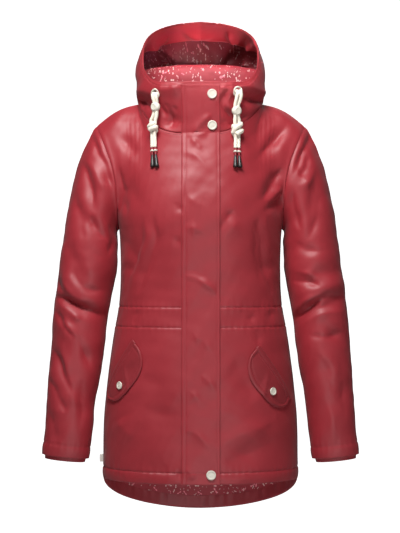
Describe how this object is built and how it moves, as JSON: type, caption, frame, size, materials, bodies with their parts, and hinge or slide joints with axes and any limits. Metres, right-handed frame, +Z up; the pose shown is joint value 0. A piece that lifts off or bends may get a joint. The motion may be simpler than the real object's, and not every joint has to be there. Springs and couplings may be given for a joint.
{
  "type": "raincoat",
  "caption": "Hooded raincoat filled out as worn, with a storm placket, slanted pocket flaps, drawcord and dropped rounded back hem.",
  "frame": {"origin": "neck base on the shoulder line, where the wearer's shoulders hold the coat", "axes": "+Z up, front of the coat towards -Y, wearer's left at +X"},
  "size_m": [0.5978, 0.338, 0.951],
  "materials": {
    "coated_cloth": "smooth coated rainwear cloth with a satin sheen",
    "printed_lining": "soft woven lining with a small leaf and petal print",
    "white_trim": "smooth warm white",
    "cotton_cord": "braided cotton",
    "cord_tip": "matt black dip",
    "blank_tab": "plain woven tape"
  },
  "bodies": {
    "root": {"front_l": "coated_cloth", "front_r": "coated_cloth", "back": "coated_cloth", "sleeve_l": "coated_cloth", "sleeve_r": "coated_cloth", "cuff_l": "coated_cloth", "cuff_r": "coated_cloth", "hood_side_l": "coated_cloth", "hood_side_r": "coated_cloth", "hood_centre": "coated_cloth", "hood_facing": "coated_cloth", "hem_facing": "coated_cloth", "placket": "coated_cloth", "pocket_flap_l": "coated_cloth", "pocket_flap_r": "coated_cloth", "pocket_welt_l": "coated_cloth", "pocket_welt_r": "coated_cloth", "hood_lining": "printed_lining", "collar_lining": "printed_lining", "back_lining": "printed_lining", "snap_top": "white_trim", "snap_neck": "white_trim", "snap_hem": "white_trim", "snap_pocket_l": "white_trim", "snap_pocket_r": "white_trim", "eyelet_l": "white_trim", "eyelet_r": "white_trim", "cord_stop_l": "white_trim", "cord_stop_r": "white_trim", "knot_l": "cotton_cord", "knot_r": "cotton_cord", "cord_upper_l_a": "cotton_cord", "cord_lower_l_a": "cotton_cord", "cord_upper_l_b": "cotton_cord", "cord_lower_l_b": "cotton_cord", "cord_upper_r_a": "cotton_cord", "cord_lower_r_a": "cotton_cord", "cord_upper_r_b": "cotton_cord", "cord_lower_r_b": "cotton_cord", "cord_tip_l_a": "cord_tip", "cord_tip_l_b": "cord_tip", "cord_tip_r_a": "cord_tip", "cord_tip_r_b": "cord_tip", "side_tab": "blank_tab"}
  },
  "joints": []
}
